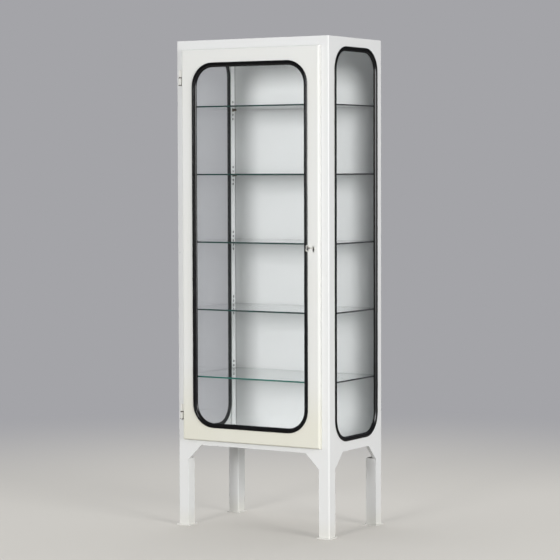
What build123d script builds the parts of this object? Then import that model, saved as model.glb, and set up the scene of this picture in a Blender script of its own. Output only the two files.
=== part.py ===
from build123d import *
from math import sqrt
import os

# Glass door medical cabinet: a folded sheet steel body on four box legs, windows in both sides
# and in one hinged door, five glass shelves on pins, and a lever lock with its key.
# Millimetres. +Z is up, the door faces -Y, +X is the lock side. The origin is on the floor,
# at the middle of the box that holds the whole object, key included.

# Body
BODY_WIDTH = 600.0
BODY_DEPTH = 360.0
BODY_HEIGHT = 1665.0
SHEET = 1.2
CORNER_BEND = 4.0
CORNER_RETURN = 9.0
FRAME_RETURN = 14.0
TOP_EDGE_ROUND = 0.8
ROUND_LIMIT = 0.75

# Legs and feet
FLOOR_GAP = 283.0
LEG_SIZE = 40.0
LEG_CLOSER_DROP = 50.0
GUSSET = 52.0
GUSSET_LIP = 12.0
FOOT_LIP = 6.0
FOOT_THICK = 4.0
FOOT_CORNER = 2.0

# Door
DOOR_SIDE_MARGIN = 28.0
DOOR_TOP_MARGIN = 30.5
DOOR_BOTTOM_MARGIN = 17.0
DOOR_THICK = 15.0
DOOR_GAP = 1.0
DOOR_LAP = 8.0
DOOR_BEND = 6.0

# Glazing: rubber section, glass and the frame left round each window
GASKET_WEB = 4.0
GASKET_STAND_OUT = 5.0
GASKET_BACK_LIP = 1.2
GASKET_ROUND = 3.0
GASKET_BACK_ROUND = 0.8
GASKET_GROOVE = 1.6
GASKET_GROOVE_DEPTH = 1.0
SHEET_GRIP = 6.0
GLASS_GRIP = 6.0
GLASS_THICK = 4.0
GLASS_SET_BACK = 4.0
GLAZING_CLEAR = 0.3
WINDOW_CORNER = 80.0
DOOR_STILE = 43.5
DOOR_RAIL = 46.5
DOOR_RIM_GAP = 3.0
SIDE_MARGIN_FRONT = 38.0
SIDE_MARGIN_REAR = 31.0
SIDE_MARGIN_TOP = 30.5
SIDE_MARGIN_BOTTOM = 31.5

# Shelves, their uprights and pins
SHELF_COUNT = 5
LOWEST_SHELF = 235.0
HIGHEST_SHELF_DROP = 221.8
SHELF_THICK = 5.0
SHELF_ARRIS = 0.6
SHELF_CORNER = 3.0
SHELF_FRONT_GAP = 2.5
SHELF_REAR_GAP = 5.0
SHELF_END_GAP = 0.5
UPRIGHT_DEPTH = 8.0
UPRIGHT_GAP = 1.5
PEG_PITCH = 15.0
PEG_ROWS = 5
PEG_HOLE = 6.0
PIN_CLEAR = 0.05
PIN_TAIL_GAP = 1.8
PIN_COLLAR = 9.0
PIN_COLLAR_THICK = 1.5
PIN_STUB = 5.0
PIN_STUB_LENGTH = 13.0
PIN_FLAT = 0.5

# Lift-off hinges
HINGE_INSET = 95.0
KNUCKLE_RADIUS = 5.0
KNUCKLE_DOOR_GAP = 3.0
KNUCKLE_LENGTH = 26.0
KNUCKLE_CLEAR = 0.4
HINGE_PIN_RADIUS = 2.5
HINGE_PIN_CLEAR = 0.05
HINGE_PIN_SHORT = 2.0
HINGE_LEAF = 2.0
HINGE_LEAF_EDGE = 3.0
HINGE_WEB = 3.0

# Lock and key
LOCK_SETBACK = 22.0
LOCK_EDGE_GAP = 2.0
LOCK_CASE_DEPTH = 12.0
LOCK_CASE_WALL = 2.2
LOCK_CASE_MARGIN = 6.5
DRUM_WALL = 1.5
DRUM_CLEAR = 0.05
DRUM_END_GAP = 0.4
BOLT_HEIGHT = 12.0
BOLT_THICK = 5.0
BOLT_RISE = 3.5
BOLT_FRONT = 4.0
BOLT_CLEAR = 0.2
BOLT_SLOT_CLEAR = 1.0
SCREW_RADIUS = 1.5
SCREW_HEAD_RADIUS = 2.8
SCREW_HEAD_DEPTH = 1.6
SCREW_EDGE = 4.0
KEY_SHANK_RADIUS = 2.5
KEY_BIT_REACH = 8.0
KEY_BIT_THICK = 2.5
KEY_BIT_LENGTH = 6.0
KEY_CLEAR = 0.2
KEY_HOLE_CLEAR = 0.4
KEY_ENTRY_WIDTH = 6.6
KEY_ENTRY_ABOVE = 5.0
KEY_ENTRY_BELOW = 12.0
KEY_TIP_GAP = 1.4
KEY_REACH = 50.0
KEY_BOW_LENGTH = 21.0
KEY_BOW_HEIGHT = 24.0
KEY_BOW_RIM = 4.0
KEY_BOW_THICK = 3.0
KEY_COLLAR_RADIUS = 3.6
KEY_COLLAR_LENGTH = 3.0

# Rubber buttons that the shut door rests near
BUFFER_RADIUS = 3.0
BUFFER_CLEAR = 0.2
BUFFER_INSET = 160.0

# Planes worked out from the sizes above
front_reach = BODY_DEPTH / 2 + DOOR_GAP + DOOR_THICK + KEY_REACH
rear_reach = BODY_DEPTH / 2 + FOOT_LIP
body_front = (front_reach - rear_reach) / 2 - BODY_DEPTH / 2
body_back = body_front + BODY_DEPTH
body_mid = (body_front + body_back) / 2
half_width = BODY_WIDTH / 2
sheet_top = BODY_HEIGHT - SHEET
floor_top = FLOOR_GAP + SHEET

door_half = half_width - DOOR_SIDE_MARGIN
door_bottom = FLOOR_GAP + DOOR_BOTTOM_MARGIN
door_top = BODY_HEIGHT - DOOR_TOP_MARGIN
door_back = body_front - DOOR_GAP
door_face = door_back - DOOR_THICK

opening_half = door_half - DOOR_LAP
opening_bottom = door_bottom + DOOR_LAP
opening_top = door_top - DOOR_LAP

gasket_width = SHEET_GRIP + GASKET_WEB + GLASS_GRIP
gasket_back = GLASS_SET_BACK + GLASS_THICK / 2 + GASKET_BACK_LIP

upright_face = half_width - UPRIGHT_DEPTH
upright_width = min(SIDE_MARGIN_FRONT, SIDE_MARGIN_REAR) - CORNER_BEND - 2 * UPRIGHT_GAP

hinge_x = -door_half - KNUCKLE_DOOR_GAP - KNUCKLE_RADIUS
hinge_y = door_back - DOOR_THICK / 2

lock_x = door_half - LOCK_SETBACK
lock_z = (door_bottom + door_top) / 2
drum_radius = KEY_BIT_REACH + DRUM_WALL


def block(x_span, y_span, z_span):
    """A box between three pairs of planes."""
    middle = [(low + high) / 2 for low, high in (x_span, y_span, z_span)]
    sides = [high - low for low, high in (x_span, y_span, z_span)]
    return Pos(*middle) * Box(*sides)


def post(x, y, z_span, radius):
    """A round bar that stands along Z."""
    low, high = z_span
    return Pos(x, y, (low + high) / 2) * Cylinder(radius, high - low)


def bar_along_x(x_span, y, z, radius):
    """A round bar that lies along X."""
    low, high = x_span
    return Pos((low + high) / 2, y, z) * Rot(0, 90, 0) * Cylinder(radius, high - low)


def bar_along_y(x, y_span, z, radius):
    """A round bar that lies along Y."""
    low, high = y_span
    return Pos(x, (low + high) / 2, z) * Rot(90, 0, 0) * Cylinder(radius, high - low)


def pane_in_side(x_span, y_span, z_span, radius):
    """A slab with rounded corners, upright, facing sideways."""
    middle = (x_span[0], sum(y_span) / 2, sum(z_span) / 2)
    plane = Plane(origin=middle, x_dir=(0, 1, 0), z_dir=(1, 0, 0))
    outline = RectangleRounded(y_span[1] - y_span[0], z_span[1] - z_span[0], radius)
    return extrude(plane * outline, amount=x_span[1] - x_span[0])


def pane_in_front(y_span, x_span, z_span, radius):
    """A slab with rounded corners, upright, facing the front."""
    middle = (sum(x_span) / 2, y_span[1], sum(z_span) / 2)
    plane = Plane(origin=middle, x_dir=(1, 0, 0), z_dir=(0, -1, 0))
    outline = RectangleRounded(x_span[1] - x_span[0], z_span[1] - z_span[0], radius)
    return extrude(plane * outline, amount=y_span[1] - y_span[0])


def inset(span, by):
    """The span drawn in at both ends."""
    return (span[0] + by, span[1] - by)


def about(middle, size):
    """The span of that size about a middle."""
    return (middle - size / 2, middle + size / 2)


def save(name, solid):
    """One file for each named piece."""
    export_step(solid, f"parts/{name}.step")


os.makedirs("parts", exist_ok=True)


# Rubber glazing section and its pane, the same for the door and the two sides. The rubber stands
# out in front of the sheet, and the pane sits behind it.
def glazing(pane, sheet_middle, inward, across, z_span):
    """The gasket, the glass and the hole in the sheet for a window of that outer size."""
    glass_edge = gasket_width - GLASS_GRIP
    front = sheet_middle - inward * GASKET_STAND_OUT
    whole = sorted((front, sheet_middle + inward * gasket_back))
    groove_deep = sorted((front, front + inward * GASKET_GROOVE_DEPTH))
    glass_deep = about(sheet_middle + inward * GLASS_SET_BACK, GLASS_THICK)

    def slab(deep, by):
        return pane(deep, inset(across, by), inset(z_span, by), WINDOW_CORNER - by)

    def band(deep, outer, inner):
        return slab(deep, outer) - slab(deep, inner)

    def end_edges(solid, end):
        facing = Axis.X if pane is pane_in_side else Axis.Y
        return solid.faces().sort_by(facing)[-1 if end > 0 else 0].edges()

    ring = band(whole, 0, gasket_width)
    front_lip = GASKET_STAND_OUT - SHEET / 2
    ring = fillet(end_edges(ring, -inward), min(GASKET_ROUND, front_lip * ROUND_LIMIT))
    ring = fillet(end_edges(ring, inward), min(GASKET_BACK_ROUND, GASKET_BACK_LIP * ROUND_LIMIT))
    groove_at = (gasket_width - GASKET_GROOVE) / 2
    ring -= band(groove_deep, groove_at, groove_at + GASKET_GROOVE)
    ring -= band(about(sheet_middle, SHEET), -gasket_width, SHEET_GRIP + GLAZING_CLEAR)
    ring -= slab(glass_deep, glass_edge - GLAZING_CLEAR)
    glass = slab(glass_deep, glass_edge)
    hole = slab(whole, SHEET_GRIP)
    return ring, glass, hole


# Side panels: one sheet each, bent at both upright corners, with a window
def body_ring():
    """The plan of the body's sheet, all the way round."""
    outer = RectangleRounded(BODY_WIDTH, BODY_DEPTH, CORNER_BEND)
    inner = RectangleRounded(BODY_WIDTH - 2 * SHEET, BODY_DEPTH - 2 * SHEET, CORNER_BEND - SHEET)
    return Pos(0, body_mid) * (outer - inner)


def standing(plan, z_span):
    """A plan raised between two heights."""
    return extrude(Pos(0, 0, z_span[0]) * plan, amount=z_span[1] - z_span[0])


side_window_y = (body_front + SIDE_MARGIN_FRONT, body_back - SIDE_MARGIN_REAR)
side_window_z = (FLOOR_GAP + SIDE_MARGIN_BOTTOM, BODY_HEIGHT - SIDE_MARGIN_TOP)

for side, sign in (("left", -1), ("right", 1)):
    edge = sign * (half_width - CORNER_RETURN / 2)
    strip = Pos(edge, body_mid) * Rectangle(CORNER_RETURN, BODY_DEPTH)
    panel = standing(body_ring() & strip, (FLOOR_GAP, sheet_top))
    middle = sign * (half_width - SHEET / 2)
    gasket, glass, hole = glazing(pane_in_side, middle, -sign, side_window_y, side_window_z)
    save(f"side_panel_{side}", panel - hole)
    save(f"window_gasket_{side}", gasket)
    save(f"window_glass_{side}", glass)

# Door frame: two flat stiles with a rebate strip behind each, a top rail and an apron with returns.
# The lock side's strip has the slot that takes the bolt.
front_sheet = (body_front, body_front + SHEET)
front_return = (body_front, body_front + FRAME_RETURN)
stile_outer = half_width - CORNER_RETURN
bolt_y = (door_back + BOLT_FRONT, door_back + BOLT_FRONT + BOLT_THICK)
bolt_low = lock_z + drum_radius + BOLT_RISE
bolt_z = (bolt_low, bolt_low + BOLT_HEIGHT)

for side, sign in (("left", -1), ("right", 1)):
    face_x = sorted((sign * opening_half, sign * stile_outer))
    save(f"front_stile_{side}", block(face_x, front_sheet, (FLOOR_GAP, sheet_top)))
    strip_x = sorted((sign * opening_half, sign * (opening_half + SHEET)))
    strip = block(strip_x, (front_sheet[1], front_return[1]), (floor_top, sheet_top))
    if side == "right":
        strip -= block(strip_x, inset(bolt_y, -BOLT_SLOT_CLEAR), inset(bolt_z, -BOLT_SLOT_CLEAR))
    save(f"rebate_strip_{side}", strip)

rail_x = (-opening_half, opening_half)
rail = block(rail_x, front_sheet, (opening_top, sheet_top))
rail += block(rail_x, front_return, (opening_top, opening_top + SHEET))
save("front_rail_top", rail)

apron = block(rail_x, front_sheet, (FLOOR_GAP, opening_bottom))
apron += block(rail_x, front_return, (opening_bottom - SHEET, opening_bottom))
save("front_apron", apron)

# Back, top and floor
back_x = (-stile_outer, stile_outer)
save("back_panel", block(back_x, (body_back - SHEET, body_back), (FLOOR_GAP, sheet_top)))

top_plan = Pos(0, body_mid) * RectangleRounded(BODY_WIDTH, BODY_DEPTH, CORNER_BEND)
top_plate = standing(top_plan, (sheet_top, BODY_HEIGHT))
top_round = min(TOP_EDGE_ROUND, SHEET * ROUND_LIMIT)
save("top_panel", fillet(top_plate.faces().sort_by(Axis.Z)[-1].edges(), top_round))

inner_width = BODY_WIDTH - 2 * SHEET
inner_depth = BODY_DEPTH - 2 * SHEET
floor_plan = Pos(0, body_mid) * RectangleRounded(inner_width, inner_depth, CORNER_BEND - SHEET)
save("floor_pan", standing(floor_plan, (FLOOR_GAP, floor_top)))


# Legs: square boxes of folded sheet. The two outer faces carry on up to the body's lower edge
# and spread there into 45 degree gussets, each with a lip along its slope.
def gusset(corner, along, inward):
    """A triangle of sheet with its lip, from a leg's inner edge towards the middle."""
    tip = corner + along * GUSSET
    foot = corner + Vector(0, 0, -GUSSET)
    plate = extrude(Face(Wire.make_polygon([corner, tip, foot])), amount=SHEET, dir=inward)
    wall = SHEET * sqrt(2)
    tip_in = tip - along * wall
    foot_in = foot + Vector(0, 0, wall)
    slope = Face(Wire.make_polygon([tip, foot, foot_in, tip_in]))
    return plate + extrude(slope, amount=GUSSET_LIP, dir=inward)


leg_top = FLOOR_GAP - LEG_CLOSER_DROP
for end, y_sign in (("front", -1), ("rear", 1)):
    for side, x_sign in (("left", -1), ("right", 1)):
        middle_x = x_sign * (half_width - LEG_SIZE / 2)
        middle_y = body_mid + y_sign * (BODY_DEPTH / 2 - LEG_SIZE / 2)
        outer_x = x_sign * half_width
        outer_y = body_mid + y_sign * BODY_DEPTH / 2
        inner_x = x_sign * (half_width - LEG_SIZE)
        inner_y = body_mid + y_sign * (BODY_DEPTH / 2 - LEG_SIZE)

        square = Pos(middle_x, middle_y) * Rectangle(LEG_SIZE, LEG_SIZE)
        rounded = RectangleRounded(LEG_SIZE, LEG_SIZE, CORNER_BEND)
        hollow = RectangleRounded(LEG_SIZE - 2 * SHEET, LEG_SIZE - 2 * SHEET, CORNER_BEND - SHEET)
        tube = Pos(middle_x, middle_y) * (rounded - hollow)
        leg = standing(tube, (FOOT_THICK, leg_top))
        leg += standing(body_ring() & square, (FOOT_THICK, FLOOR_GAP))
        side_corner = Vector(outer_x, inner_y, FLOOR_GAP)
        leg += gusset(side_corner, Vector(0, -y_sign, 0), Vector(-x_sign, 0, 0))
        if end == "front":
            front_corner = Vector(inner_x, outer_y, FLOOR_GAP)
            leg += gusset(front_corner, Vector(-x_sign, 0, 0), Vector(0, -y_sign, 0))
        save(f"leg_{end}_{side}", leg)

        foot_side = LEG_SIZE + 2 * FOOT_LIP
        foot_plan = Pos(middle_x, middle_y) * RectangleRounded(foot_side, foot_side, FOOT_CORNER)
        save(f"foot_plate_{end}_{side}", standing(foot_plan, (0, FOOT_THICK)))

# Shelf heights, spread evenly from the lowest to the highest, and the peg that carries each shelf
lowest_top = floor_top + LOWEST_SHELF
highest_top = BODY_HEIGHT - HIGHEST_SHELF_DROP
shelf_pitch = (highest_top - lowest_top) / (SHELF_COUNT - 1)
shelf_tops = [lowest_top + k * shelf_pitch for k in range(SHELF_COUNT)]
stub_radius = PIN_STUB / 2
peg_heights = [top - SHELF_THICK - stub_radius + PIN_FLAT for top in shelf_tops]
peg_steps = [(k - (PEG_ROWS - 1) / 2) * PEG_PITCH for k in range(PEG_ROWS)]
upright_reach = UPRIGHT_GAP + upright_width / 2
upright_ys = {"front": side_window_y[0] - upright_reach, "rear": side_window_y[1] + upright_reach}
wall_face = half_width - SHEET

# Uprights: shallow channels on the inside of the side panels, with a group of peg holes a shelf
for end, upright_y in upright_ys.items():
    for side, sign in (("left", -1), ("right", 1)):
        depth_x = sorted((sign * upright_face, sign * wall_face))
        cavity_x = sorted((sign * (upright_face + SHEET), sign * wall_face))
        height = (floor_top, sheet_top)
        upright = block(depth_x, about(upright_y, upright_width), height)
        upright -= block(cavity_x, about(upright_y, upright_width - 2 * SHEET), height)
        holes = [
            bar_along_x(depth_x, upright_y, peg_z + step, PEG_HOLE / 2)
            for peg_z in peg_heights
            for step in peg_steps
        ]
        save(f"shelf_upright_{end}_{side}", upright - holes)

# Shelves: polished glass plates between the uprights, each resting on the flats of four pins
collar_face = upright_face - PIN_COLLAR_THICK
shelf_half = collar_face - SHELF_END_GAP
shelf_y = (body_front + FRAME_RETURN + SHELF_FRONT_GAP, body_back - SHEET - SHELF_REAR_GAP)
shelf_plan = RectangleRounded(2 * shelf_half, shelf_y[1] - shelf_y[0], SHELF_CORNER)
shelf_plan = Pos(0, sum(shelf_y) / 2) * shelf_plan


def shelf_pin(sign, pin_y, pin_z):
    """A turned pin: a tail in the peg hole, a collar on the upright, a stub with a flat."""
    tail_x = sorted((sign * (wall_face - PIN_TAIL_GAP), sign * upright_face))
    collar_x = sorted((sign * upright_face, sign * collar_face))
    stub_x = sorted((sign * collar_face, sign * (collar_face - PIN_STUB_LENGTH)))
    stub = bar_along_x(stub_x, pin_y, pin_z, stub_radius)
    above = (pin_z + stub_radius - PIN_FLAT, pin_z + stub_radius)
    stub -= block(stub_x, about(pin_y, PIN_STUB), above)
    pin = bar_along_x(tail_x, pin_y, pin_z, PEG_HOLE / 2 - PIN_CLEAR)
    return pin + bar_along_x(collar_x, pin_y, pin_z, PIN_COLLAR / 2) + stub


for number, (top, peg_z) in enumerate(zip(shelf_tops, peg_heights), start=1):
    plate = standing(shelf_plan, (top - SHELF_THICK, top))
    flats = plate.faces().sort_by(Axis.Z)
    save(f"glass_shelf_{number}", chamfer(flats[0].edges() + flats[-1].edges(), SHELF_ARRIS))
    pins = [shelf_pin(sign, y, peg_z) for sign in (-1, 1) for y in upright_ys.values()]
    save(f"shelf_pins_{number}", Compound(children=pins))


# Keyhole: a round hole for the shank with a slot below it for the bit
def keyhole(y_span, clear):
    """The key's outline, with room round it, cut along Y."""
    slot_x = about(lock_x, KEY_BIT_THICK + 2 * clear)
    slot_z = (lock_z - KEY_BIT_REACH - clear, lock_z)
    return bar_along_y(lock_x, y_span, lock_z, KEY_SHANK_RADIUS + clear) + block(slot_x, y_span, slot_z)


def key_entry(y_span):
    """The slot in the door's face, with round ends, wider and taller than the key."""
    radius = KEY_ENTRY_WIDTH / 2
    ends = (lock_z - KEY_ENTRY_BELOW + radius, lock_z + KEY_ENTRY_ABOVE - radius)
    slot = block(about(lock_x, KEY_ENTRY_WIDTH), y_span, ends)
    return slot + [bar_along_y(lock_x, y_span, z, radius) for z in ends]


lock_case_x = (lock_x - drum_radius - LOCK_CASE_MARGIN, opening_half - LOCK_EDGE_GAP)
lock_case_y = (door_back, door_back + LOCK_CASE_DEPTH)
lock_case_z = (lock_z - drum_radius - LOCK_CASE_MARGIN, bolt_z[1] + LOCK_CASE_MARGIN)
screw_places = [(x, z) for x in inset(lock_case_x, SCREW_EDGE) for z in inset(lock_case_z, SCREW_EDGE)]

# Door: a shallow pan of sheet with bent edges, closed at the back by a frame with a rim
door_x = (-door_half, door_half)
door_z = (door_bottom, door_top)
door_window_x = inset(door_x, DOOR_STILE)
door_window_z = inset(door_z, DOOR_RAIL)
skin_middle = door_face + SHEET / 2
gasket, glass, hole = glazing(pane_in_front, skin_middle, 1, door_window_x, door_window_z)
save("door_gasket", gasket)
save("door_glass", glass)

pan = block(door_x, (door_face, door_back), door_z)
pan = fillet(pan.faces().sort_by(Axis.Y)[0].edges(), DOOR_BEND)
skin_back = door_face + SHEET
room = block(inset(door_x, SHEET), (skin_back, door_back), inset(door_z, SHEET))
room = fillet(room.faces().sort_by(Axis.Y)[0].edges(), DOOR_BEND - SHEET)
pan -= room
pan -= hole
pan -= key_entry((door_face, skin_back))
save("door_skin", pan)

rim_outer = DOOR_RIM_GAP + SHEET
frame_y = (door_back - SHEET, door_back)
rim_y = (skin_back, door_back)
back_frame = block(inset(door_x, SHEET), frame_y, inset(door_z, SHEET))
back_frame += pane_in_front(
    rim_y, inset(door_window_x, -rim_outer), inset(door_window_z, -rim_outer), WINDOW_CORNER + rim_outer
)
back_frame -= pane_in_front(
    rim_y, inset(door_window_x, -DOOR_RIM_GAP), inset(door_window_z, -DOOR_RIM_GAP),
    WINDOW_CORNER + DOOR_RIM_GAP,
)
back_frame -= keyhole(frame_y, KEY_HOLE_CLEAR)
back_frame -= [bar_along_y(x, frame_y, z, SCREW_RADIUS) for x, z in screw_places]
save("door_back_frame", back_frame)

# Hinges: the frame's lower knuckle holds the pin, and the door's upper knuckle drops over it
for place, hinge_z in (("upper", door_top - HINGE_INSET), ("lower", door_bottom + HINGE_INSET)):
    low_z = (hinge_z - KNUCKLE_LENGTH - KNUCKLE_CLEAR / 2, hinge_z - KNUCKLE_CLEAR / 2)
    high_z = (hinge_z + KNUCKLE_CLEAR / 2, hinge_z + KNUCKLE_LENGTH + KNUCKLE_CLEAR / 2)

    leaf_x = (-half_width + CORNER_BEND + HINGE_LEAF_EDGE, hinge_x + KNUCKLE_RADIUS)
    frame_half = post(hinge_x, hinge_y, low_z, KNUCKLE_RADIUS)
    frame_half += block(leaf_x, (body_front - HINGE_LEAF, body_front), low_z)
    frame_half += block(about(hinge_x, HINGE_WEB), (hinge_y, body_front), low_z)
    frame_half -= post(hinge_x, hinge_y, low_z, HINGE_PIN_RADIUS)
    save(f"hinge_frame_{place}", frame_half)

    plate_y = (max(hinge_y - KNUCKLE_RADIUS, door_face + DOOR_BEND), hinge_y + KNUCKLE_RADIUS)
    door_half_knuckle = post(hinge_x, hinge_y, high_z, KNUCKLE_RADIUS)
    door_half_knuckle += block((-door_half - HINGE_LEAF, -door_half), plate_y, high_z)
    door_half_knuckle += block((hinge_x, -door_half), about(hinge_y, HINGE_WEB), high_z)
    door_half_knuckle -= post(hinge_x, hinge_y, high_z, HINGE_PIN_RADIUS + HINGE_PIN_CLEAR)
    save(f"hinge_door_{place}", door_half_knuckle)

    pin_z = (low_z[0], high_z[1] - HINGE_PIN_SHORT)
    save(f"hinge_pin_{place}", post(hinge_x, hinge_y, pin_z, HINGE_PIN_RADIUS))

# Lock: a case screwed to the back of the door, a drum that the key turns, and a sliding bolt
well_y = (door_back, door_back + LOCK_CASE_DEPTH - LOCK_CASE_WALL)
drum_y = inset(well_y, DRUM_END_GAP)
case = block(lock_case_x, lock_case_y, lock_case_z)
case -= bar_along_y(lock_x, well_y, lock_z, drum_radius + DRUM_CLEAR)
bolt_x = (lock_case_x[0] + SHEET + BOLT_CLEAR, lock_case_x[1])
channel_x = (lock_case_x[0] + SHEET, lock_case_x[1])
case -= block(channel_x, inset(bolt_y, -BOLT_CLEAR), inset(bolt_z, -BOLT_CLEAR))
head_y = (lock_case_y[1] - SCREW_HEAD_DEPTH, lock_case_y[1])
screws = []
for x, z in screw_places:
    shank = bar_along_y(x, (frame_y[0], lock_case_y[1]), z, SCREW_RADIUS)
    screw = shank + bar_along_y(x, head_y, z, SCREW_HEAD_RADIUS)
    case -= screw
    screws.append(screw)
save("lock_case", case)
save("lock_screws", Compound(children=screws))
save("lock_bolt", block(bolt_x, bolt_y, bolt_z))

drum = bar_along_y(lock_x, drum_y, lock_z, drum_radius)
save("lock_drum", drum - keyhole(drum_y, KEY_CLEAR))

# Key: round shank, flat bit at its inner end, and an oval ring for the fingers
key_tip = drum_y[1] - KEY_TIP_GAP
bow_tip = door_face - KEY_REACH
bow_root = bow_tip + KEY_BOW_LENGTH
bow_plane = Plane(origin=(lock_x, (bow_tip + bow_root) / 2, lock_z), x_dir=(0, 1, 0), z_dir=(1, 0, 0))
bow = Ellipse(KEY_BOW_LENGTH / 2, KEY_BOW_HEIGHT / 2)
bow -= Ellipse(KEY_BOW_LENGTH / 2 - KEY_BOW_RIM, KEY_BOW_HEIGHT / 2 - KEY_BOW_RIM)
key = extrude(bow_plane * bow, amount=KEY_BOW_THICK / 2, both=True)
key += bar_along_y(lock_x, (bow_root - KEY_BOW_RIM / 2, key_tip), lock_z, KEY_SHANK_RADIUS)
key += bar_along_y(lock_x, (bow_root, bow_root + KEY_COLLAR_LENGTH), lock_z, KEY_COLLAR_RADIUS)
bit_z = (lock_z - KEY_BIT_REACH, lock_z)
key += block(about(lock_x, KEY_BIT_THICK), (key_tip - KEY_BIT_LENGTH, key_tip), bit_z)
save("key", key)

# Rubber buttons on the lock side of the frame, just short of the shut door
buffer_x = opening_half + DOOR_LAP / 2
buffer_y = (door_back + BUFFER_CLEAR, body_front)
buffers = [
    bar_along_y(buffer_x, buffer_y, z, BUFFER_RADIUS) for z in inset(door_z, BUFFER_INSET)
]
save("door_buffers", Compound(children=buffers))
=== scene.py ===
import math

import bpy
from mathutils import Matrix, Vector


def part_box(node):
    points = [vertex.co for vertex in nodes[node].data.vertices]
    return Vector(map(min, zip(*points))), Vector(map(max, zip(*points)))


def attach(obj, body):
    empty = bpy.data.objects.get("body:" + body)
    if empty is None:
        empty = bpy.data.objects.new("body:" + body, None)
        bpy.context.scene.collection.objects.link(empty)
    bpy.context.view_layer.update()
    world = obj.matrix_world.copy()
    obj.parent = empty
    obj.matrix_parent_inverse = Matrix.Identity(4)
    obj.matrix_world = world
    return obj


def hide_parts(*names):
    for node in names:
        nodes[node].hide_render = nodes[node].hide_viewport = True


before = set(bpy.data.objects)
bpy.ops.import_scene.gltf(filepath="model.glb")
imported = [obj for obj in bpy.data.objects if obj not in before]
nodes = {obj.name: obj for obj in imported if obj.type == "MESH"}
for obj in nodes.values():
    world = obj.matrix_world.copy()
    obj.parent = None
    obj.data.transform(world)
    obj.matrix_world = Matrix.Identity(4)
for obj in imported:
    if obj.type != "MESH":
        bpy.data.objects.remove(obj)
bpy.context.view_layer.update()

# Legs and foot plates: square boxes folded from thin sheet steel, spread into gussets under the body and
# welded to flat plates that stand on the floor. White enamel is sprayed over all of it and stoved.
mm = 0.001


def linear(colour):
    """A colour written as an sRGB hex value, as the linear one that a shader takes."""
    parts = [int(colour[i:i + 2], 16) / 255 for i in (1, 3, 5)]
    return [p / 12.92 if p <= 0.04045 else ((p + 0.055) / 1.055) ** 2.4 for p in parts] + [1.0]


def add(tree, kind, inputs=None, **settings):
    """A node of that kind with its settings. Inputs go by identifier and take a value or a link."""
    node = tree.nodes.new(kind)
    for name, value in settings.items():
        setattr(node, name, value)
    sockets = {socket.identifier: socket for socket in node.inputs}
    for name, value in (inputs or {}).items():
        if isinstance(value, bpy.types.NodeSocket):
            tree.links.new(value, sockets[name])
        else:
            sockets[name].default_value = value
    return node


def blank_material(name):
    """A material with an empty node tree, and the tree."""
    material = bpy.data.materials.new(name)
    material.use_nodes = True
    material.node_tree.nodes.clear()
    return material, material.node_tree


def finish_node(names, material):
    """Gives the finish to those nodes of the frame."""
    for name in names:
        data = nodes[name].data
        data.materials.clear()
        data.materials.append(material)


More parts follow.
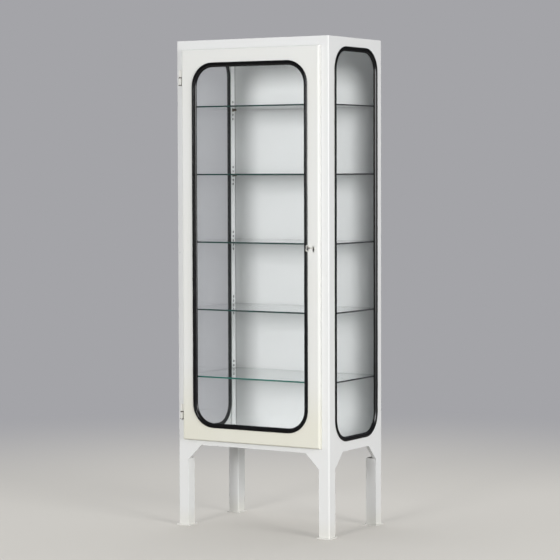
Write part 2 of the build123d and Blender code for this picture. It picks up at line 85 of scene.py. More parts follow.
# Stoved white enamel on sheet steel: a satin gloss over a faint orange peel, cleaner in some places and
# creamier in others, as old white paint goes. Painted shade and grime darken the gaps and holes, and the
# edges have a few small chips down to dark steel. The real peel is 2 mm across and is drawn coarser so that
# it shows.
def white_enamel(name, clean, aged, cream_from, cream_to, chipped, rubbed=None):
    """Enamel that turns from the clean colour to the aged one below a height, in metres."""
    material, tree = blank_material(name)
    patch_size, smear_size, peel_size, chip_size = 260 * mm, 45 * mm, 6 * mm, 9 * mm
    gap_reach, edge_reach, peel_depth = 7 * mm, 1.6 * mm, 0.12 * mm
    shade_and_grime_colour, chip_colour, ring_wear_and_shade_colour = "#1E1B17", "#4A443C", "#26231F"
    where = add(tree, "ShaderNodeTexCoord").outputs["Object"]
    patches = add(tree, "ShaderNodeTexNoise", {"Vector": where, "Scale": 1 / patch_size, "Detail": 3.0})
    height = add(tree, "ShaderNodeSeparateXYZ", {"Vector": where}).outputs["Z"]
    low = add(tree, "ShaderNodeMapRange",
              {"Value": height, "From Min": cream_from, "From Max": cream_to, "To Min": 0.0, "To Max": 0.7},
              interpolation_type="SMOOTHSTEP")
    share = add(tree, "ShaderNodeMath",
                {"Value": patches.outputs["Fac"], "Value_001": 0.4, "Value_002": low.outputs["Result"]},
                operation="MULTIPLY_ADD", use_clamp=True)
    paint = add(tree, "ShaderNodeMix",
                {"Factor_Float": share.outputs[0], "A_Color": linear(clean), "B_Color": linear(aged)},
                data_type="RGBA")
    # Painted shade and grime: darker where nearby surfaces close a point in, as in gaps and holes.
    open_air = add(tree, "ShaderNodeAmbientOcclusion", {"Distance": gap_reach}, samples=6)
    shade_and_grime = add(tree, "ShaderNodeMapRange",
                {"Value": open_air.outputs["AO"], "From Min": 0.36, "From Max": 0.06, "To Max": 0.94},
                interpolation_type="SMOOTHSTEP")
    shaded_and_soiled = add(tree, "ShaderNodeMix",
                 {"Factor_Float": shade_and_grime.outputs["Result"], "A_Color": paint.outputs[2],
                  "B_Color": linear(shade_and_grime_colour)}, data_type="RGBA")
    colour = shaded_and_soiled
    if chipped:
        eased = add(tree, "ShaderNodeBevel", {"Radius": edge_reach}, samples=4)
        flat = add(tree, "ShaderNodeNewGeometry")
        turn = add(tree, "ShaderNodeVectorMath",
                   {"Vector": eased.outputs["Normal"], "Vector_001": flat.outputs["Normal"]},
                   operation="DOT_PRODUCT")
        edge = add(tree, "ShaderNodeMapRange",
                   {"Value": turn.outputs["Value"], "From Min": 0.985, "From Max": 0.93})
        flakes = add(tree, "ShaderNodeTexNoise", {"Vector": where, "Scale": 1 / chip_size, "Detail": 4.0})
        sparse = add(tree, "ShaderNodeMapRange",
                     {"Value": flakes.outputs["Fac"], "From Min": 0.69, "From Max": 0.72})
        chip = add(tree, "ShaderNodeMath",
                   {"Value": edge.outputs["Result"], "Value_001": sparse.outputs["Result"]},
                   operation="MULTIPLY")
        colour = add(tree, "ShaderNodeMix",
                     {"Factor_Float": chip.outputs[0], "A_Color": shaded_and_soiled.outputs[2],
                      "B_Color": linear(chip_colour)}, data_type="RGBA")
    # The rubbed rings are partly worn enamel and partly painted shade round the peg holes.
    if rubbed:
        colour = add(tree, "ShaderNodeMix",
                     {"Factor_Float": rubbed(tree, where), "A_Color": colour.outputs[2],
                      "B_Color": linear(ring_wear_and_shade_colour)}, data_type="RGBA")
    smears = add(tree, "ShaderNodeTexNoise", {"Vector": where, "Scale": 1 / smear_size, "Detail": 4.0})
    rough = add(tree, "ShaderNodeMapRange", {"Value": smears.outputs["Fac"], "To Min": 0.42, "To Max": 0.58})
    peel = add(tree, "ShaderNodeTexNoise", {"Vector": where, "Scale": 1 / peel_size, "Detail": 1.0})
    bump = add(tree, "ShaderNodeBump",
               {"Height": peel.outputs["Fac"], "Strength": 0.2, "Distance": peel_depth})
    shader = add(tree, "ShaderNodeBsdfPrincipled",
                 {"Base Color": colour.outputs[2], "Roughness": rough.outputs["Result"],
                  "Normal": bump.outputs["Normal"], "IOR": 1.5})
    add(tree, "ShaderNodeOutputMaterial", {"Surface": shader.outputs["BSDF"]})
    return material


body_enamel = white_enamel("stoved_white_enamel", "#E1E2E2", "#DDDCD6",
                           cream_from=0.08, cream_to=0.0, chipped=True)
corners = [f"{end}_{side}" for end in ("front", "rear") for side in ("left", "right")]
finish_node([f"leg_{corner}" for corner in corners], body_enamel)
finish_node([f"foot_plate_{corner}" for corner in corners], body_enamel)

# Body: side panels, back, top and floor of folded sheet, and the frame round the door, spot welded into
# one shell and enamelled with the legs. The inside enamel is a whiter copy, painted light that brightens
# the inside seen through the glass.
shell = ["top_panel", "front_rail_top", "front_apron"]
shell += [f"{piece}_{side}" for piece in ("side_panel", "front_stile", "rebate_strip")
          for side in ("left", "right")]
finish_node(shell, body_enamel)
# Painted light: the inside and the uprights get whiter colours than the outside enamel.
painted_light_inside_colours = ("#F4F5F5", "#EFEFEE")
inside_cream_heights = (0.30, 0.28)
inside_enamel_painted_light = white_enamel("stoved_white_enamel_inside_painted_light", *painted_light_inside_colours, *inside_cream_heights,
                             chipped=False)
finish_node(["back_panel", "floor_pan"], inside_enamel_painted_light)


# Shelf uprights: shallow channels of sheet spot welded to the side panels, punched with five peg holes for
# each shelf. Dark rings round the holes are partly enamel rubbed through to dark steel by the pins' collars
# and partly painted shade that makes the holes read darker.
def pin_wear_and_hole_shade(tree, where):
    """Dark rings round the peg holes, as wide as a pin's collar: rubbed enamel and painted shade."""
    rows, row_pitch, collar_radius, soft_edge = 5, 15 * mm, 4.5 * mm, 0.8 * mm
    pin_boxes = [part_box(f"shelf_pins_{number}") for number in (1, 2)]
    pin_heights = [(low.z + high.z) / 2 for low, high in pin_boxes]
    upright_boxes = [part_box(f"shelf_upright_{end}_left") for end in ("front", "rear")]
    lines = [(low.y + high.y) / 2 for low, high in upright_boxes]
    axes = add(tree, "ShaderNodeSeparateXYZ", {"Vector": where}).outputs
    start = pin_heights[0] - rows * row_pitch / 2
    above = add(tree, "ShaderNodeMath", {"Value": axes["Z"], "Value_001": start}, operation="SUBTRACT")
    in_bay = add(tree, "ShaderNodeMath",
                 {"Value": above.outputs[0], "Value_001": pin_heights[1] - pin_heights[0]},
                 operation="FLOORED_MODULO")
    in_row = add(tree, "ShaderNodeMath", {"Value": in_bay.outputs[0], "Value_001": row_pitch},
                 operation="FLOORED_MODULO")
    off_row = add(tree, "ShaderNodeMath", {"Value": in_row.outputs[0], "Value_001": row_pitch / 2},
                  operation="SUBTRACT")
    from_middle = add(tree, "ShaderNodeMath", {"Value": axes["Y"], "Value_001": sum(lines) / 2},
                      operation="SUBTRACT")
    to_side = add(tree, "ShaderNodeMath", {"Value": from_middle.outputs[0]}, operation="ABSOLUTE")
    off_line = add(tree, "ShaderNodeMath",
                   {"Value": to_side.outputs[0], "Value_001": (lines[1] - lines[0]) / 2},
                   operation="SUBTRACT")
    offset = add(tree, "ShaderNodeCombineXYZ", {"Y": off_line.outputs[0], "Z": off_row.outputs[0]})
    away = add(tree, "ShaderNodeVectorMath", {"Vector": offset.outputs["Vector"]}, operation="LENGTH")
    ring = add(tree, "ShaderNodeMapRange",
               {"Value": away.outputs["Value"], "From Min": collar_radius,
                "From Max": collar_radius - soft_edge})
    punched = add(tree, "ShaderNodeMath", {"Value": in_bay.outputs[0], "Value_001": rows * row_pitch},
                  operation="LESS_THAN")
    return add(tree, "ShaderNodeMath", {"Value": ring.outputs["Result"], "Value_001": punched.outputs[0]},
               operation="MULTIPLY").outputs[0]


# Painted light: the uprights take the whiter inside colours.
upright_enamel_painted_light = white_enamel("stoved_white_enamel_uprights_painted_light", *painted_light_inside_colours, *inside_cream_heights,
                              chipped=False, rubbed=pin_wear_and_hole_shade)
finish_node([f"shelf_upright_{corner}" for corner in corners], upright_enamel_painted_light)


# Side windows: float glass held in the sheet by an extruded rubber section, pressed round the edge of the
# hole and locked by a filler strip pushed into its face. Its two ends meet in the lower run.
def black_rubber():
    """Extruded black rubber: nearly black, satin, with faint dust and the fine drag marks of the die."""
    material, tree = blank_material("extruded_black_rubber")
    dust_size, drag_size, drag_depth = 24 * mm, 4 * mm, 0.2 * mm
    where = add(tree, "ShaderNodeTexCoord").outputs["Object"]
    dust = add(tree, "ShaderNodeTexNoise", {"Vector": where, "Scale": 1 / dust_size, "Detail": 5.0})
    share = add(tree, "ShaderNodeMapRange",
                {"Value": dust.outputs["Fac"], "From Min": 0.45, "From Max": 0.8})
    colour = add(tree, "ShaderNodeMix",
                 {"Factor_Float": share.outputs["Result"], "A_Color": linear("#040405"),
                  "B_Color": linear("#0E0F10")}, data_type="RGBA")
    rough = add(tree, "ShaderNodeMapRange", {"Value": dust.outputs["Fac"], "To Min": 0.2, "To Max": 0.3})
    drags = add(tree, "ShaderNodeTexNoise", {"Vector": where, "Scale": 1 / drag_size, "Detail": 2.0})
    bump = add(tree, "ShaderNodeBump",
               {"Height": drags.outputs["Fac"], "Strength": 0.2, "Distance": drag_depth})
    shader = add(tree, "ShaderNodeBsdfPrincipled",
                 {"Base Color": colour.outputs[2], "Roughness": rough.outputs["Result"],
                  "Normal": bump.outputs["Normal"], "IOR": 1.5, "Specular IOR Level": 0.25})
    add(tree, "ShaderNodeOutputMaterial", {"Surface": shader.outputs["BSDF"]})
    return material


def poly_curve(name, points, cyclic):
    """A curve of straight runs through those points."""
    data = bpy.data.curves.new(name, "CURVE")
    data.dimensions = "3D"
    spline = data.splines.new("POLY")
    spline.points.add(len(points) - 1)
    for place, point in zip(spline.points, points):
        place.co = (*point, 1.0)
    spline.use_cyclic_u = cyclic
    made = bpy.data.objects.new(name, data)
    bpy.context.scene.collection.objects.link(made)
    return made


section_half = 8 * mm
stand_out = 5 * mm


def rubber_outline():
    """The section across one run: X stands out from the sheet's middle, Y points away from the window's."""
    face = [(0.6, 8.0), (2.2, 8.0), (3.8, 6.8), (4.4, 5.0), (4.2, 3.4), (3.3, 2.6), (4.1, 1.7), (3.9, -1.0),
            (3.0, -2.8), (0.6, -5.6), (-1.6, -7.6), (-2.0, -8.0)]
    glass_slot = [(-2.0, -1.7), (-6.0, -1.7)]
    back = [(-6.0, -8.0), (-6.8, -8.0), (-7.2, -7.2), (-7.2, 7.2), (-6.6, 8.0), (-0.6, 8.0)]
    sheet_slot = [(-0.6, 1.7), (0.6, 1.7)]
    return [(x * mm, y * mm, 0.0) for x, y in reversed(face + glass_slot + back + sheet_slot)]


def geometry_tree(name, inputs, output):
    """An empty geometry tree with those inputs, each with its kind, and one geometry output."""
    tree = bpy.data.node_groups.new(name, "GeometryNodeTree")
    for label, kind in inputs.items():
        tree.interface.new_socket(label, in_out="INPUT", socket_type=f"NodeSocket{kind}")
    tree.interface.new_socket(output, in_out="OUTPUT", socket_type="NodeSocketGeometry")
    return tree


def rubber_tree():
    """Nodes that sweep the section along a path with rounded corners, and let it wander a little."""
    tree = geometry_tree("glazing_rubber", {
        "Path": "Geometry", "Section": "Object", "Corner Radius": "Float", "Step": "Float",
        "Edge Radius": "Float", "Outward": "Vector", "Wander": "Vector", "Material": "Material",
    }, "Rubber")
    corner_steps, edge_steps = 24, 3
    waves_per_metre, doubled_within = 9.0, 0.02 * mm
    given = add(tree, "NodeGroupInput").outputs
    round_path = add(tree, "GeometryNodeFilletCurve",
                     {"Curve": given["Path"], "Count": corner_steps, "Radius": given["Corner Radius"],
                      "Limit Radius": True}, mode="POLY")
    even = add(tree, "GeometryNodeResampleCurve",
               {"Curve": round_path.outputs["Curve"], "Length": given["Step"]}, mode="LENGTH")
    noise = add(tree, "ShaderNodeTexNoise", {"Scale": waves_per_metre, "Detail": 1.0})
    centred = add(tree, "ShaderNodeVectorMath",
                  {"Vector": noise.outputs["Color"], "Vector_001": (0.5, 0.5, 0.5)}, operation="SUBTRACT")
    offset = add(tree, "ShaderNodeVectorMath",
                 {"Vector": centred.outputs["Vector"], "Vector_001": given["Wander"]}, operation="MULTIPLY")
    moved = add(tree, "GeometryNodeSetPosition",
                {"Geometry": even.outputs["Curve"], "Offset": offset.outputs["Vector"]})
    turned = add(tree, "GeometryNodeSetCurveNormal",
                 {"Curve": moved.outputs["Geometry"], "Normal": given["Outward"]}, mode="FREE")
    section = add(tree, "GeometryNodeObjectInfo", {"Object": given["Section"]})
    eased = add(tree, "GeometryNodeFilletCurve",
                {"Curve": section.outputs["Geometry"], "Count": edge_steps, "Radius": given["Edge Radius"],
                 "Limit Radius": True}, mode="POLY")
    swept = add(tree, "GeometryNodeCurveToMesh",
                {"Curve": turned.outputs["Curve"], "Profile Curve": eased.outputs["Curve"],
                 "Fill Caps": True})
    sound = add(tree, "GeometryNodeMergeByDistance",
                {"Geometry": swept.outputs["Mesh"], "Distance": doubled_within})
    real = add(tree, "GeometryNodeRealizeInstances", {"Geometry": sound.outputs["Geometry"]})
    coated = add(tree, "GeometryNodeSetMaterial",
                 {"Geometry": real.outputs["Geometry"], "Material": given["Material"]})
    result = tree.interface.items_tree["Rubber"].identifier
    add(tree, "NodeGroupOutput", {result: coated.outputs["Geometry"]})
    return tree


def grown_mesh(name, holder, tree, inputs):
    """A plain mesh object from what the tree grows on the holder, which then goes."""
    sharp_angle = math.radians(40)
    modifier = holder.modifiers.new(name, "NODES")
    modifier.node_group = tree
    for label, value in inputs.items():
        modifier[tree.interface.items_tree[label].identifier] = value
    graph = bpy.context.evaluated_depsgraph_get()
    mesh = bpy.data.meshes.new_from_object(holder.evaluated_get(graph))
    mesh.name = name
    holder.modifiers.remove(modifier)
    bpy.data.objects.remove(holder)
    mesh.shade_smooth()
    mesh.set_sharp_from_angle(angle=sharp_angle)
    made = bpy.data.objects.new(name, mesh)
    bpy.context.scene.collection.objects.link(made)
    return made


rubber = black_rubber()
rubber_sweep = rubber_tree()
window_corner = 80 * mm


def glazing_rubber(node, body, outward, joint):
    """The rubber round one window, with its ends meeting that far along the lower run."""
    low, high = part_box(node)
    middle = (low + high) / 2
    up = Vector((0, 0, 1))
    along = up.cross(outward)
    face = max(low.dot(outward), high.dot(outward))
    middle += outward * (face - stand_out - middle.dot(outward))
    half_wide = abs((high - low).dot(along)) / 2 - section_half
    half_high = (high.z - low.z) / 2 - section_half
    gap, path_step, edge_radius, wander = 0.9 * mm, 11 * mm, 0.7 * mm, 1.2 * mm
    path = [(joint + gap / 2, -half_high), (half_wide, -half_high), (half_wide, half_high),
            (-half_wide, half_high), (-half_wide, -half_high), (joint - gap / 2, -half_high)]
    holder = poly_curve("path", [middle + along * a + up * b for a, b in path], False)
    section = poly_curve("section", rubber_outline(), True)
    in_plane = Vector((1, 1, 1)) - Vector([abs(x) for x in outward])
    made = grown_mesh(f"{node}_section", holder, rubber_sweep, {
        "Section": section, "Corner Radius": window_corner - section_half, "Step": path_step,
        "Edge Radius": edge_radius, "Outward": outward, "Wander": in_plane * wander, "Material": rubber,
    })
    bpy.data.objects.remove(section)
    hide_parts(node)
    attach(made, body)


glazing_rubber("window_gasket_left", "carcass", Vector((-1, 0, 0)), 20 * mm)
glazing_rubber("window_gasket_right", "carcass", Vector((1, 0, 0)), 2 * mm)


# Float glass: clear and polished, with a faint green from the iron in it. Lamps and soft light pass
# straight through the pane, less of it at a slant.
def clear_glass(tree, tint, index):
    """The shader of a pane that keeps that tint of what passes through both its faces."""
    face_tint = [math.sqrt(part) for part in linear(tint)]
    path = add(tree, "ShaderNodeLightPath")
    passing = add(tree, "ShaderNodeMath",
                  {"Value": path.outputs["Is Shadow Ray"], "Value_001": path.outputs["Is Diffuse Ray"]},
                  operation="MAXIMUM")
    inside = add(tree, "ShaderNodeNewGeometry").outputs["Backfacing"]
    turned = add(tree, "ShaderNodeMath", {"Value": inside, "Value_001": -2.0, "Value_002": 1.0},
                 operation="MULTIPLY_ADD")
    outer_index = add(tree, "ShaderNodeMath", {"Value": index, "Value_001": turned.outputs[0]},
                      operation="POWER")
    mirrored = add(tree, "ShaderNodeFresnel", {"IOR": outer_index.outputs[0]})
    passed = add(tree, "ShaderNodeMix",
                 {"Factor_Float": mirrored.outputs["Fac"], "A_Color": face_tint,
                  "B_Color": linear("#000000")}, data_type="RGBA")
    clear = add(tree, "ShaderNodeBsdfTransparent", {"Color": passed.outputs[2]})
    pane = add(tree, "ShaderNodeBsdfPrincipled",
               {"Base Color": linear(tint), "Roughness": 0.0, "IOR": index, "Transmission Weight": 1.0})
    return add(tree, "ShaderNodeMixShader",
               {"Fac": passing.outputs[0], "Shader": pane.outputs["BSDF"],
                "Shader_001": clear.outputs["BSDF"]})


window_glass, tree = blank_material("clear_float_glass")
pane = clear_glass(tree, tint="#FDFEFE", index=1.5)
add(tree, "ShaderNodeOutputMaterial", {"Surface": pane.outputs["Shader"]})
finish_node(["window_glass_left", "window_glass_right"], window_glass)

# Shelves: float glass with ground edges, each resting on four turned pins plugged into the perforated
# channels. Through its front edge the glass is a deep green. Painted light makes the front edges lighter
# than the dark ends and the lowest shelf's front edge palest.
shelf_index = 1.52
streak_length = 35 * mm
edge_glow_from, edge_glow_full = 0.70, 0.55
shelf_glass, tree = blank_material("shelf_glass_ground_edges")
pane = clear_glass(tree, tint="#F8FCFB", index=shelf_index)
where = add(tree, "ShaderNodeTexCoord").outputs["Object"]
normal = add(tree, "ShaderNodeNewGeometry").outputs["True Normal"]
facing = add(tree, "ShaderNodeSeparateXYZ", {"Vector": normal})
# Painted light: front edges are lighter than the dark ends, by which way a face points.
front = add(tree, "ShaderNodeMath", {"Value": facing.outputs["Y"], "Value_001": -0.5},
            operation="LESS_THAN")
streaks = add(tree, "ShaderNodeTexNoise", {"Vector": where, "Scale": 1 / streak_length, "Detail": 2.0})
streaked = add(tree, "ShaderNodeMath", {"Value": streaks.outputs["Fac"], "Value_001": front.outputs[0]},
               operation="MULTIPLY")
deep = add(tree, "ShaderNodeMix",
           {"Factor_Float": streaked.outputs[0], "A_Color": linear("#010706"),
            "B_Color": linear("#075148")}, data_type="RGBA")
# Painted light: the lowest shelf's front edge is painted paler, by height.
height = add(tree, "ShaderNodeSeparateXYZ", {"Vector": where}).outputs["Z"]
lowest = add(tree, "ShaderNodeMapRange", {"Value": height, "From Min": edge_glow_from, "From Max": edge_glow_full})
painted_edge_glow = add(tree, "ShaderNodeMath", {"Value": lowest.outputs["Result"], "Value_001": front.outputs[0]},
           operation="MULTIPLY")
green = add(tree, "ShaderNodeMix",
            {"Factor_Float": painted_edge_glow.outputs[0], "A_Color": deep.outputs[2], "B_Color": linear("#0B6E61")},
            data_type="RGBA")
ground = add(tree, "ShaderNodeBsdfPrincipled",
             {"Base Color": green.outputs[2], "Roughness": 0.3, "IOR": shelf_index,
              "Specular IOR Level": 0.3})
level = add(tree, "ShaderNodeMath", {"Value": facing.outputs["Z"]}, operation="ABSOLUTE")
flat = add(tree, "ShaderNodeMath", {"Value": level.outputs[0], "Value_001": 0.9},
           operation="GREATER_THAN")
shelf = add(tree, "ShaderNodeMixShader",
            {"Fac": flat.outputs[0], "Shader": ground.outputs["BSDF"],
             "Shader_001": pane.outputs["Shader"]})
add(tree, "ShaderNodeOutputMaterial", {"Surface": shelf.outputs["Shader"]})
shelf_numbers = range(1, 6)
finish_node([f"glass_shelf_{number}" for number in shelf_numbers], shelf_glass)


def plated_metal(name, bright, dull, roughness):
    """Plated metal, bright where it is clean and duller in blotches."""
    material, tree = blank_material(name)
    blotch_size = 5 * mm
    where = add(tree, "ShaderNodeTexCoord").outputs["Object"]
    blotches = add(tree, "ShaderNodeTexNoise", {"Vector": where, "Scale": 1 / blotch_size, "Detail": 3.0})
    share = add(tree, "ShaderNodeMapRange",
                {"Value": blotches.outputs["Fac"], "From Min": 0.35, "From Max": 0.75})
    colour = add(tree, "ShaderNodeMix",
                 {"Factor_Float": share.outputs["Result"], "A_Color": linear(bright),
                  "B_Color": linear(dull)}, data_type="RGBA")
    rough = add(tree, "ShaderNodeMapRange",
                {"Value": blotches.outputs["Fac"], "To Min": roughness * 0.7, "To Max": roughness * 1.3})
    shader = add(tree, "ShaderNodeBsdfPrincipled",
                 {"Base Color": colour.outputs[2], "Metallic": 1.0, "Roughness": rough.outputs["Result"]})
    add(tree, "ShaderNodeOutputMaterial", {"Surface": shader.outputs["BSDF"]})
    return material


zinc = plated_metal("zinc_plated_steel", "#B9B7B1", "#9C978E", roughness=0.38)
pin_steel = plated_metal("plated_steel_tarnished", "#94897A", "#4F463B", roughness=0.4)
finish_node([f"shelf_pins_{number}" for number in shelf_numbers], pin_steel)

# Hinges: lift-off pairs. The lower knuckle is welded to the frame and holds a steel pin, and the upper one
# is welded to the door's edge and drops over it. Both are enamelled with what they are welded to, and the
# enamel has worn off where the knuckles rub.
places, halves = ("upper", "lower"), ("frame", "door")
flake_size, rub_reach = 4 * mm, 5 * mm
hinge_enamel, tree = blank_material("hinge_enamel_rubbed")
where = add(tree, "ShaderNodeTexCoord").outputs["Object"]
height = add(tree, "ShaderNodeSeparateXYZ", {"Vector": where}).outputs["Z"]
flakes = add(tree, "ShaderNodeTexNoise", {"Vector": where, "Scale": 1 / flake_size, "Detail": 4.0})
worn = 0.0
for name in [f"hinge_{half}_{place}" for place in places for half in halves]:
    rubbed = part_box(name)[0].z
    off = add(tree, "ShaderNodeMath", {"Value": height, "Value_001": rubbed}, operation="SUBTRACT")
    away = add(tree, "ShaderNodeMath", {"Value": off.outputs[0]}, operation="ABSOLUTE")
    near = add(tree, "ShaderNodeMapRange",
               {"Value": away.outputs[0], "From Min": rub_reach, "From Max": 0.0, "To Max": 0.75})
    worn = add(tree, "ShaderNodeMath", {"Value": worn, "Value_001": near.outputs["Result"]},
               operation="MAXIMUM").outputs[0]
mottled = add(tree, "ShaderNodeMath", {"Value": worn, "Value_001": flakes.outputs["Fac"]},
              operation="ADD")
bare = add(tree, "ShaderNodeMapRange", {"Value": mottled.outputs[0], "From Min": 0.85, "From Max": 1.0})
colour = add(tree, "ShaderNodeMix",
             {"Factor_Float": bare.outputs["Result"], "A_Color": linear("#DDDCD6"),
              "B_Color": linear("#3B342A")}, data_type="RGBA")
rough = add(tree, "ShaderNodeMapRange", {"Value": flakes.outputs["Fac"], "To Min": 0.3, "To Max": 0.55})
shader = add(tree, "ShaderNodeBsdfPrincipled",
             {"Base Color": colour.outputs[2], "Roughness": rough.outputs["Result"], "IOR": 1.5})
add(tree, "ShaderNodeOutputMaterial", {"Surface": shader.outputs["BSDF"]})
finish_node([f"hinge_{half}_{place}" for half in halves for place in places], hinge_enamel)
finish_node([f"hinge_pin_{place}" for place in places], zinc)

# Door: a shallow pan of sheet with bent edges, closed behind by a second sheet with a rim round the window.
# It is enamelled apart from the body, and its lower rail has yellowed most.
door_enamel = white_enamel("stoved_white_enamel_door", "#E1E2E1", "#DDDBCC",
                           cream_from=0.58, cream_to=0.34, chipped=True)
finish_node(["door_skin", "door_back_frame"], door_enamel)
glazing_rubber("door_gasket", "door", Vector((0, -1, 0)), 1 * mm)
finish_node(["door_glass"], window_glass)

# Rubber buttons: two small studs on the frame, which the shut door rests near. They have the same finish as
# the glazing rubber.
finish_node(["door_buffers"], rubber)

# Lock: a zinc plated case screwed to the back of the door, with a brass drum that the key turns and a steel
# bolt that it throws into the frame. The key is nickel plated, with a round shank and an oval ring.
brass = plated_metal("turned_brass", "#C9A45C", "#8F6E37", roughness=0.3)
nickel = plated_metal("nickel_plated_steel", "#EDECE8", "#BDB9B1", roughness=0.2)
finish_node(["lock_case", "lock_bolt"], zinc)
finish_node(["lock_drum"], brass)
finish_node(["key"], nickel)


# Lock screws: four slotted countersunk heads, flush with the case and driven by hand, so that their slots
# point in all directions.
def screw_tree():
    """Nodes that put a slotted screw at each point, with its head towards +Y."""
    tree = geometry_tree("slotted_screws", {
        "Places": "Geometry", "Head Radius": "Float", "Head Depth": "Float", "Shank Radius": "Float",
        "Shank Length": "Float", "Slot Width": "Float", "Slot Depth": "Float", "Material": "Material",
    }, "Screws")
    head_sides, shank_sides = 24, 16
    given = add(tree, "NodeGroupInput").outputs
    head = add(tree, "GeometryNodeMeshCylinder",
               {"Vertices": head_sides, "Radius": given["Head Radius"], "Depth": given["Head Depth"]})
    head_z = add(tree, "ShaderNodeMath", {"Value": given["Head Depth"], "Value_001": -0.5},
                 operation="MULTIPLY")
    head_at = add(tree, "ShaderNodeCombineXYZ", {"Z": head_z.outputs[0]})
    head = add(tree, "GeometryNodeTransform",
               {"Geometry": head.outputs["Mesh"], "Translation": head_at.outputs["Vector"]})
    long = add(tree, "ShaderNodeMath", {"Value": given["Head Radius"], "Value_001": 3.0},
               operation="MULTIPLY")
    deep = add(tree, "ShaderNodeMath", {"Value": given["Slot Depth"], "Value_001": 2.0},
               operation="MULTIPLY")
    slot_size = add(tree, "ShaderNodeCombineXYZ",
                    {"X": long.outputs[0], "Y": given["Slot Width"], "Z": deep.outputs[0]})
    slot = add(tree, "GeometryNodeMeshCube", {"Size": slot_size.outputs["Vector"]})
    cut = add(tree, "GeometryNodeMeshBoolean",
              {"Mesh 1": head.outputs["Geometry"], "Mesh 2": slot.outputs["Mesh"]}, operation="DIFFERENCE")
    shank = add(tree, "GeometryNodeMeshCylinder",
                {"Vertices": shank_sides, "Radius": given["Shank Radius"], "Depth": given["Shank Length"]})
    shank_z = add(tree, "ShaderNodeMath",
                  {"Value": given["Shank Length"], "Value_001": -0.5, "Value_002": head_z.outputs[0]},
                  operation="MULTIPLY_ADD")
    shank_at = add(tree, "ShaderNodeCombineXYZ", {"Z": shank_z.outputs[0]})
    shank = add(tree, "GeometryNodeTransform",
                {"Geometry": shank.outputs["Mesh"], "Translation": shank_at.outputs["Vector"]})
    screw = add(tree, "GeometryNodeJoinGeometry")
    tree.links.new(cut.outputs["Mesh"], screw.inputs[0])
    tree.links.new(shank.outputs["Geometry"], screw.inputs[0])
    spin = add(tree, "FunctionNodeRandomValue",
               {"Min": (-math.pi / 2, 0.0, 0.0), "Max": (-math.pi / 2, math.pi, 0.0), "Seed": 4},
               data_type="FLOAT_VECTOR")
    placed = add(tree, "GeometryNodeInstanceOnPoints",
                 {"Points": given["Places"], "Instance": screw.outputs["Geometry"],
                  "Rotation": spin.outputs["Value"]})
    real = add(tree, "GeometryNodeRealizeInstances", {"Geometry": placed.outputs["Instances"]})
    coated = add(tree, "GeometryNodeSetMaterial",
                 {"Geometry": real.outputs["Geometry"], "Material": given["Material"]})
    result = tree.interface.items_tree["Screws"].identifier
    add(tree, "NodeGroupOutput", {result: coated.outputs["Geometry"]})
    return tree


head_radius, head_depth, shank_radius, slot_size = 2.8 * mm, 1.6 * mm, 1.45 * mm, 0.9 * mm
low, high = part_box("lock_screws")
spots = [(x, high.y, z) for x in (low.x + head_radius, high.x - head_radius)
         for z in (low.z + head_radius, high.z - head_radius)]
mesh = bpy.data.meshes.new("screw_places")
mesh.from_pydata(spots, [], [])
holder = bpy.data.objects.new("screw_places", mesh)
bpy.context.scene.collection.objects.link(holder)
screws = grown_mesh("lock_screws_slotted", holder, screw_tree(), {
    "Head Radius": head_radius, "Head Depth": head_depth, "Shank Radius": shank_radius,
    "Shank Length": high.y - low.y - head_depth, "Slot Width": slot_size, "Slot Depth": slot_size,
    "Material": zinc,
})
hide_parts("lock_screws")
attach(screws, "door")


# Studio: a plain pale floor that fades into an even grey, and two soft lamps, in front of the door and to the
# right, which the panes don't mirror. Soft light from above, behind and the left keeps those sides white, and
# a dark flag dims what the panes mirror to the camera.
def flagged(tree, direction, path):
    """How much of the backdrop a reflection shows in that direction: little where the flag hangs."""
    flag_line = (0.52, 0.854, 0.0)
    edge_cosine, full_cosine, depth = 0.80, 0.96, 0.85
    towards = add(tree, "ShaderNodeVectorMath", {"Vector": direction, "Vector_001": flag_line},
                  operation="DOT_PRODUCT")
    in_line = add(tree, "ShaderNodeMath", {"Value": towards.outputs["Value"]}, operation="ABSOLUTE")
    flag = add(tree, "ShaderNodeMapRange",
               {"Value": in_line.outputs[0], "From Min": edge_cosine, "From Max": full_cosine,
                "To Max": depth},
               interpolation_type="SMOOTHSTEP")
    reflected = add(tree, "ShaderNodeMath",
                    {"Value": path.outputs["Is Glossy Ray"],
                     "Value_001": path.outputs["Is Transmission Ray"]},
                    operation="SUBTRACT", use_clamp=True)
    shaded = add(tree, "ShaderNodeMath",
                 {"Value": flag.outputs["Result"], "Value_001": reflected.outputs[0]}, operation="MULTIPLY")
    return add(tree, "ShaderNodeMath", {"Value": 1.0, "Value_001": shaded.outputs[0]},
               operation="SUBTRACT").outputs[0]


def looked_at(tree, path):
    """1 on the rays that show the studio itself: from the camera, mirrored or through glass."""
    mirrored = add(tree, "ShaderNodeMath",
                   {"Value": path.outputs["Is Camera Ray"], "Value_001": path.outputs["Is Glossy Ray"]},
                   operation="MAXIMUM")
    return add(tree, "ShaderNodeMath",
               {"Value": mirrored.outputs[0], "Value_001": path.outputs["Is Transmission Ray"]},
               operation="MAXIMUM").outputs[0]


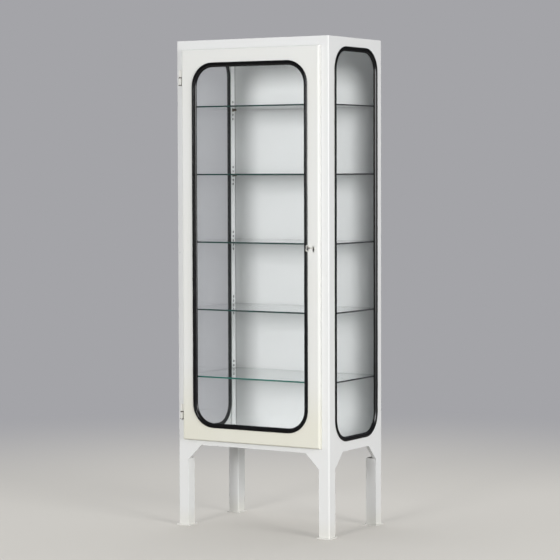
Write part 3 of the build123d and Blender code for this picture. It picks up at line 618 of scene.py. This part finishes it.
backdrop = linear("#A4A4A8")
floor_radius, fade_from, fade_full, floor_glow = 8.0, 1.0, 3.6, 0.3
mesh = bpy.data.meshes.new("studio_floor")
floor = bpy.data.objects.new("studio_floor", mesh)
bpy.context.scene.collection.objects.link(floor)
rim_points = 96
turns = [math.tau * k / rim_points for k in range(rim_points)]
mesh.from_pydata([(floor_radius * math.cos(a), floor_radius * math.sin(a), 0.0) for a in turns], [],
                 [range(rim_points)])
material, tree = blank_material("studio_floor")
where = add(tree, "ShaderNodeTexCoord").outputs["Object"]
far = add(tree, "ShaderNodeVectorMath", {"Vector": where}, operation="LENGTH")
fade = add(tree, "ShaderNodeMapRange",
           {"Value": far.outputs["Value"], "From Min": fade_from, "From Max": fade_full},
           interpolation_type="SMOOTHSTEP")
path = add(tree, "ShaderNodeLightPath")
lift = add(tree, "ShaderNodeMath", {"Value": looked_at(tree, path), "Value_001": floor_glow},
           operation="MULTIPLY")
paper = add(tree, "ShaderNodeBsdfPrincipled",
            {"Base Color": linear("#AFACA6"), "Roughness": 0.9, "Specular IOR Level": 0.1,
             "Emission Color": linear("#DAD7D1"), "Emission Strength": lift.outputs[0]})
heading = add(tree, "ShaderNodeVectorMath", {"Vector": where}, operation="NORMALIZE")
glow = add(tree, "ShaderNodeEmission",
           {"Color": backdrop, "Strength": flagged(tree, heading.outputs["Vector"], path)})
both = add(tree, "ShaderNodeMixShader",
           {"Fac": fade.outputs["Result"], "Shader": paper.outputs["BSDF"],
            "Shader_001": glow.outputs["Emission"]})
add(tree, "ShaderNodeOutputMaterial", {"Surface": both.outputs["Shader"]})
mesh.materials.append(material)

fill_side = (-0.67, 0.57, 0.475)
fill_cosine, fill_least, fill_most = 0.7, 0.08, 1.22
world = bpy.data.worlds.new("studio")
bpy.context.scene.world = world
world.use_nodes = True
tree = world.node_tree
tree.nodes.clear()
path = add(tree, "ShaderNodeLightPath")
direction = add(tree, "ShaderNodeTexCoord").outputs["Generated"]
rearward = add(tree, "ShaderNodeVectorMath", {"Vector": direction, "Vector_001": fill_side},
               operation="DOT_PRODUCT")
fill = add(tree, "ShaderNodeMapRange",
           {"Value": rearward.outputs["Value"], "From Min": 0.0, "From Max": fill_cosine,
            "To Min": fill_least, "To Max": fill_most},
           interpolation_type="SMOOTHSTEP")
around = add(tree, "ShaderNodeBackground",
             {"Color": linear("#F4F6FA"), "Strength": fill.outputs["Result"]})
behind = add(tree, "ShaderNodeBackground",
             {"Color": backdrop, "Strength": flagged(tree, direction, path)})
sky = add(tree, "ShaderNodeMixShader",
          {"Fac": looked_at(tree, path), "Shader": around.outputs["Background"],
           "Shader_001": behind.outputs["Background"]})
add(tree, "ShaderNodeOutputWorld", {"Surface": sky.outputs["Shader"]})

unlit_panes = bpy.data.collections.new("panes_without_lamp_glare")
for name in ("window_glass_left", "window_glass_right", "door_glass"):
    unlit_panes.objects.link(nodes[name])
for entry in unlit_panes.collection_objects:
    entry.light_linking.link_state = "EXCLUDE"


def soft_lamp(name, place, aim, size, power):
    """A square soft lamp that faces a point and isn't mirrored in the panes."""
    data = bpy.data.lights.new(name, "AREA")
    data.shape = "SQUARE"
    data.size = size
    data.energy = power
    lamp = bpy.data.objects.new(name, data)
    bpy.context.scene.collection.objects.link(lamp)
    lamp.location = place
    lamp.rotation_euler = (Vector(aim) - Vector(place)).to_track_quat("-Z", "Y").to_euler()
    lamp.light_linking.receiver_collection = unlit_panes


body_middle = (0, 0, 0.85)
soft_lamp("front_lamp", (0.2, -8.0, 2.05), body_middle, size=1.75, power=354)
soft_lamp("side_lamp", (7.1, -2.3, 2.0), body_middle, size=3.0, power=428)
cycles = bpy.context.scene.cycles
cycles.max_bounces = 20
cycles.diffuse_bounces = 6
cycles.transmission_bounces = 20
cycles.transparent_max_bounces = 32

# Camera: where the photograph was taken from, found from the cabinet's own edges. Its lens is worked out from
# a focal length in pixels of the picture.
eye = Vector((3.82734, -6.2346, 1.22307))
yaw, pitch, roll = (math.radians(angle) for angle in (31.415, 2.936, -0.17))
focal_pixels, picture_pixels, sensor = 2137.0, 560, 36.0
ahead = Vector((-math.sin(yaw) * math.cos(pitch), math.cos(yaw) * math.cos(pitch), -math.sin(pitch)))
level = Vector((math.cos(yaw), math.sin(yaw), 0))
upward = level.cross(ahead)
right = level * math.cos(roll) + upward * math.sin(roll)
top = upward * math.cos(roll) - level * math.sin(roll)
data = bpy.data.cameras.new("camera")
data.sensor_width = sensor
data.lens = focal_pixels / picture_pixels * sensor
camera = bpy.data.objects.new("camera", data)
bpy.context.scene.collection.objects.link(camera)
camera.matrix_world = Matrix.Translation(eye) @ Matrix((right, top, -ahead)).transposed().to_4x4()
bpy.context.scene.camera = camera
bpy.context.scene.view_settings.view_transform = "Standard"
